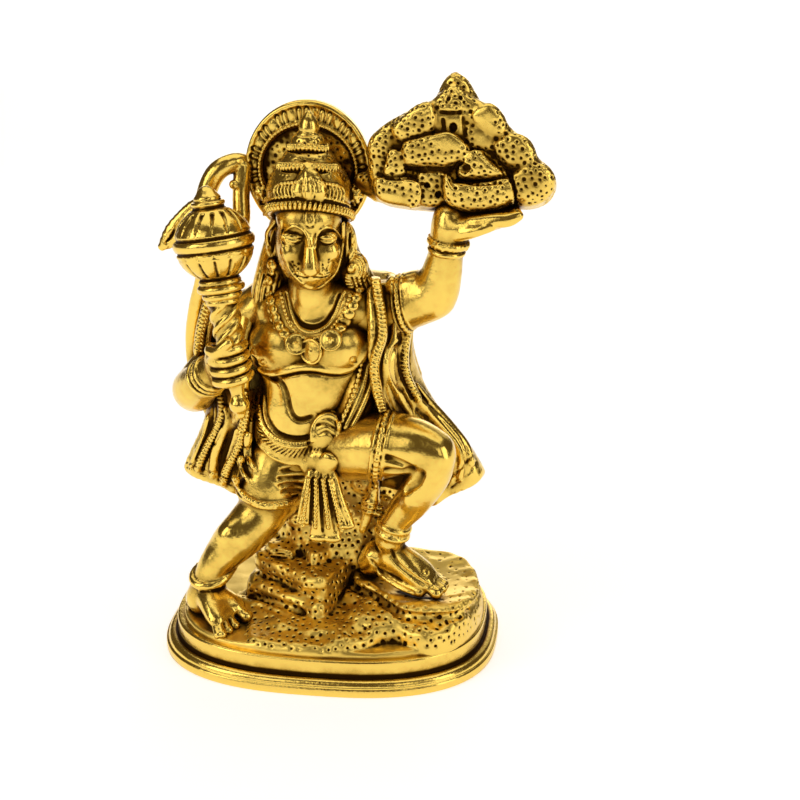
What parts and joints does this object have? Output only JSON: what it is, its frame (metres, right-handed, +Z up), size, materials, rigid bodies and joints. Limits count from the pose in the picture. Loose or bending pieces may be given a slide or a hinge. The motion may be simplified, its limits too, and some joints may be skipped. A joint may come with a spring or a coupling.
{
  "type": "hanuman figure",
  "caption": "Brass hanuman figure striding over rock on an oval plinth, one hand holding a mace upright and the other lifting a mountain, cast in one piece.",
  "frame": {"origin": "middle of the oval plinth's flat underside", "axes": "+Z up, the figure faces -Y, the raised palm and mountain towards +X"},
  "size_m": [0.1095, 0.0766, 0.1649],
  "materials": {
    "brass": "polished cast brass, bright on what stands out, dark brown patina in the recesses"
  },
  "bodies": {
    "root": {"hanuman_figure": "brass"}
  },
  "joints": []
}
